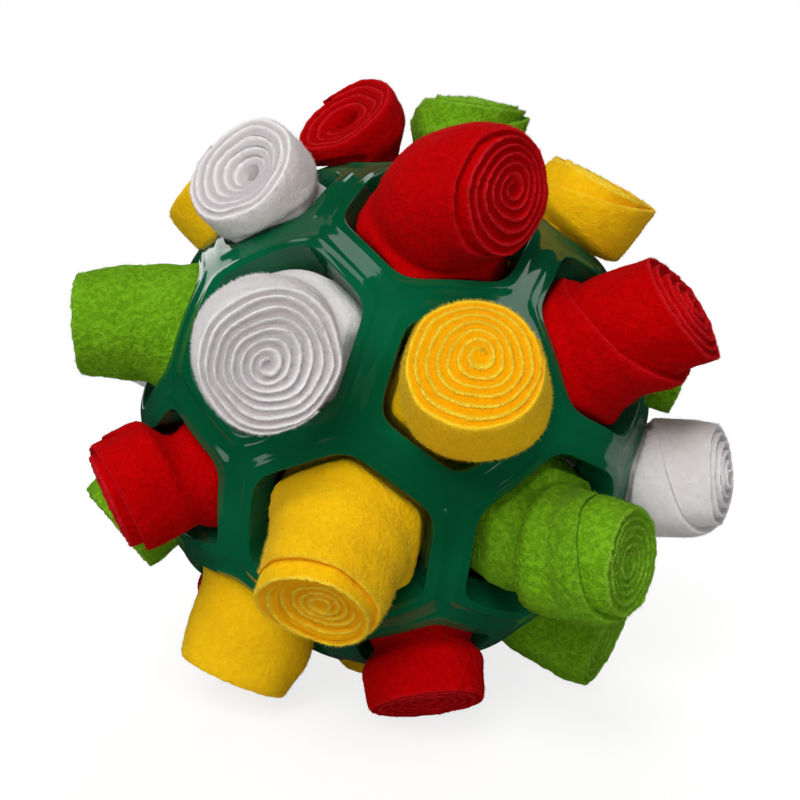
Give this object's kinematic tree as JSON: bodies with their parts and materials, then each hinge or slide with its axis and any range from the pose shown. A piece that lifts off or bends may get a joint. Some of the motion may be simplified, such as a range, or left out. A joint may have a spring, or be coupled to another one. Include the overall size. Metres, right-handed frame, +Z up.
{
  "type": "snuffle ball dog toy",
  "caption": "Hollow rubber honeycomb ball with a roll of fleece pushed into each hole, for hiding treats that a dog sniffs out.",
  "frame": {"origin": "middle of the flat end of the base roll, on the surface that the toy stands on, straight below the centre of the ball", "axes": "+Z up, through the middle of the top and bottom holes; -Y towards the front, where a five-sided hole faces; +X to the right seen from the front"},
  "size_m": [0.1352, 0.142, 0.1288],
  "materials": {
    "green_rubber": "gloss",
    "white_fleece": "matte",
    "yellow_fleece": "matte",
    "red_fleece": "matte",
    "green_fleece": "matte"
  },
  "bodies": {
    "ball": {"rubber_ball": "green_rubber"},
    "crown_left_red_roll": {"crown_left_red_roll": "red_fleece"},
    "crown_right_green_roll": {"crown_right_green_roll": "green_fleece"},
    "top_front_red_roll": {"top_front_red_roll": "red_fleece"},
    "top_left_white_roll": {"top_left_white_roll": "white_fleece"},
    "top_right_yellow_roll": {"top_right_yellow_roll": "yellow_fleece"},
    "top_rear_white_roll": {"top_rear_white_roll": "white_fleece"},
    "top_rear_left_yellow_roll": {"top_rear_left_yellow_roll": "yellow_fleece"},
    "top_rear_right_red_roll": {"top_rear_right_red_roll": "red_fleece"},
    "front_left_white_roll": {"front_left_white_roll": "white_fleece"},
    "front_right_red_roll": {"front_right_red_roll": "red_fleece"},
    "left_green_roll": {"left_green_roll": "green_fleece"},
    "right_green_roll": {"right_green_roll": "green_fleece"},
    "rear_left_red_roll": {"rear_left_red_roll": "red_fleece"},
    "rear_right_yellow_roll": {"rear_right_yellow_roll": "yellow_fleece"},
    "front_yellow_roll": {"front_yellow_roll": "yellow_fleece"},
    "left_rear_white_roll": {"left_rear_white_roll": "white_fleece"},
    "right_rear_white_roll": {"right_rear_white_roll": "white_fleece"},
    "rear_white_roll": {"rear_white_roll": "white_fleece"},
    "low_left_red_roll": {"low_left_red_roll": "red_fleece"},
    "low_right_white_roll": {"low_right_white_roll": "white_fleece"},
    "low_front_left_yellow_roll": {"low_front_left_yellow_roll": "yellow_fleece"},
    "low_front_right_green_roll": {"low_front_right_green_roll": "green_fleece"},
    "low_side_left_green_roll": {"low_side_left_green_roll": "green_fleece"},
    "low_side_right_yellow_roll": {"low_side_right_yellow_roll": "yellow_fleece"},
    "low_rear_left_yellow_roll": {"low_rear_left_yellow_roll": "yellow_fleece"},
    "low_rear_right_red_roll": {"low_rear_right_red_roll": "red_fleece"},
    "foot_left_yellow_roll": {"foot_left_yellow_roll": "yellow_fleece"},
    "foot_right_green_roll": {"foot_right_green_roll": "green_fleece"},
    "foot_rear_green_roll": {"foot_rear_green_roll": "green_fleece"},
    "foot_front_red_roll": {"foot_front_red_roll": "red_fleece"},
    "foot_rear_left_red_roll": {"foot_rear_left_red_roll": "red_fleece"},
    "foot_rear_right_white_roll": {"foot_rear_right_white_roll": "white_fleece"},
    "base_yellow_roll": {"base_yellow_roll": "yellow_fleece"}
  },
  "joints": [
    {"name": "crown_left_pull", "type": "slide", "parent": "ball", "child": "crown_left_red_roll", "axis": [0, 0, 1], "range_m": [0, 0.025]},
    {"name": "crown_right_pull", "type": "slide", "parent": "ball", "child": "crown_right_green_roll", "axis": [0, 0, 1], "range_m": [0, 0.025]},
    {"name": "top_front_pull", "type": "slide", "parent": "ball", "child": "top_front_red_roll", "axis": [0, -0.6667, 0.7454], "range_m": [0, 0.025]},
    {"name": "top_left_pull", "type": "slide", "parent": "ball", "child": "top_left_white_roll", "axis": [-0.5257, -0.3035, 0.7947], "range_m": [0, 0.025]},
    {"name": "top_right_pull", "type": "slide", "parent": "ball", "child": "top_right_yellow_roll", "axis": [0.5257, -0.3035, 0.7947], "range_m": [0, 0.025]},
    {"name": "top_rear_pull", "type": "slide", "parent": "ball", "child": "top_rear_white_roll", "axis": [0, 0.6071, 0.7947], "range_m": [0, 0.025]},
    {"name": "top_rear_left_pull", "type": "slide", "parent": "ball", "child": "top_rear_left_yellow_roll", "axis": [-0.5773, 0.3333, 0.7454], "range_m": [0, 0.025]},
    {"name": "top_rear_right_pull", "type": "slide", "parent": "ball", "child": "top_rear_right_red_roll", "axis": [0.5773, 0.3333, 0.7454], "range_m": [0, 0.025]},
    {"name": "front_left_pull", "type": "slide", "parent": "ball", "child": "front_left_white_roll", "axis": [-0.5773, -0.7454, 0.3333], "range_m": [0, 0.025]},
    {"name": "front_right_pull", "type": "slide", "parent": "ball", "child": "front_right_red_roll", "axis": [0.5774, -0.7454, 0.3333], "range_m": [0, 0.025]},
    {"name": "left_pull", "type": "slide", "parent": "ball", "child": "left_green_roll", "axis": [-0.9342, -0.1273, 0.3333], "range_m": [0, 0.025]},
    {"name": "right_pull", "type": "slide", "parent": "ball", "child": "right_green_roll", "axis": [0.9342, -0.1273, 0.3333], "range_m": [0, 0.025]},
    {"name": "rear_left_pull", "type": "slide", "parent": "ball", "child": "rear_left_red_roll", "axis": [-0.3568, 0.8727, 0.3333], "range_m": [0, 0.025]},
    {"name": "rear_right_pull", "type": "slide", "parent": "ball", "child": "rear_right_yellow_roll", "axis": [0.3568, 0.8727, 0.3333], "range_m": [0, 0.025]},
    {"name": "front_pull", "type": "slide", "parent": "ball", "child": "front_yellow_roll", "axis": [0, -0.9822, 0.1876], "range_m": [0, 0.025]},
    {"name": "left_rear_pull", "type": "slide", "parent": "ball", "child": "left_rear_white_roll", "axis": [-0.8507, 0.4911, 0.1876], "range_m": [0, 0.025]},
    {"name": "right_rear_pull", "type": "slide", "parent": "ball", "child": "right_rear_white_roll", "axis": [0.8507, 0.4911, 0.1876], "range_m": [0, 0.025]},
    {"name": "rear_pull", "type": "slide", "parent": "ball", "child": "rear_white_roll", "axis": [0, 0.9822, -0.1876], "range_m": [0, 0.025]},
    {"name": "low_left_pull", "type": "slide", "parent": "ball", "child": "low_left_red_roll", "axis": [-0.8507, -0.4911, -0.1876], "range_m": [0, 0.025]},
    {"name": "low_right_pull", "type": "slide", "parent": "ball", "child": "low_right_white_roll", "axis": [0.8507, -0.4911, -0.1876], "range_m": [0, 0.025]},
    {"name": "low_front_left_pull", "type": "slide", "parent": "ball", "child": "low_front_left_yellow_roll", "axis": [-0.3568, -0.8727, -0.3333], "range_m": [0, 0.025]},
    {"name": "low_front_right_pull", "type": "slide", "parent": "ball", "child": "low_front_right_green_roll", "axis": [0.3568, -0.8727, -0.3333], "range_m": [0, 0.025]},
    {"name": "low_side_left_pull", "type": "slide", "parent": "ball", "child": "low_side_left_green_roll", "axis": [-0.9342, 0.1273, -0.3333], "range_m": [0, 0.025]},
    {"name": "low_side_right_pull", "type": "slide", "parent": "ball", "child": "low_side_right_yellow_roll", "axis": [0.9342, 0.1273, -0.3333], "range_m": [0, 0.025]},
    {"name": "low_rear_left_pull", "type": "slide", "parent": "ball", "child": "low_rear_left_yellow_roll", "axis": [-0.5774, 0.7453, -0.3333], "range_m": [0, 0.025]},
    {"name": "low_rear_right_pull", "type": "slide", "parent": "ball", "child": "low_rear_right_red_roll", "axis": [0.5773, 0.7454, -0.3333], "range_m": [0, 0.025]},
    {"name": "foot_left_pull", "type": "slide", "parent": "ball", "child": "foot_left_yellow_roll", "axis": [-0.5773, -0.3333, -0.7454], "range_m": [0, 0.025]},
    {"name": "foot_right_pull", "type": "slide", "parent": "ball", "child": "foot_right_green_roll", "axis": [0.5773, -0.3333, -0.7454], "range_m": [0, 0.025]},
    {"name": "foot_rear_pull", "type": "slide", "parent": "ball", "child": "foot_rear_green_roll", "axis": [0, 0.6667, -0.7454], "range_m": [0, 0.025]},
    {"name": "foot_front_pull", "type": "slide", "parent": "ball", "child": "foot_front_red_roll", "axis": [0, -0.6071, -0.7947], "range_m": [0, 0.025]},
    {"name": "foot_rear_left_pull", "type": "slide", "parent": "ball", "child": "foot_rear_left_red_roll", "axis": [-0.5257, 0.3035, -0.7947], "range_m": [0, 0.025]},
    {"name": "foot_rear_right_pull", "type": "slide", "parent": "ball", "child": "foot_rear_right_white_roll", "axis": [0.5257, 0.3035, -0.7947], "range_m": [0, 0.025]},
    {"name": "base_pull", "type": "slide", "parent": "ball", "child": "base_yellow_roll", "axis": [0, 0, -1], "range_m": [0, 0.025]}
  ]
}
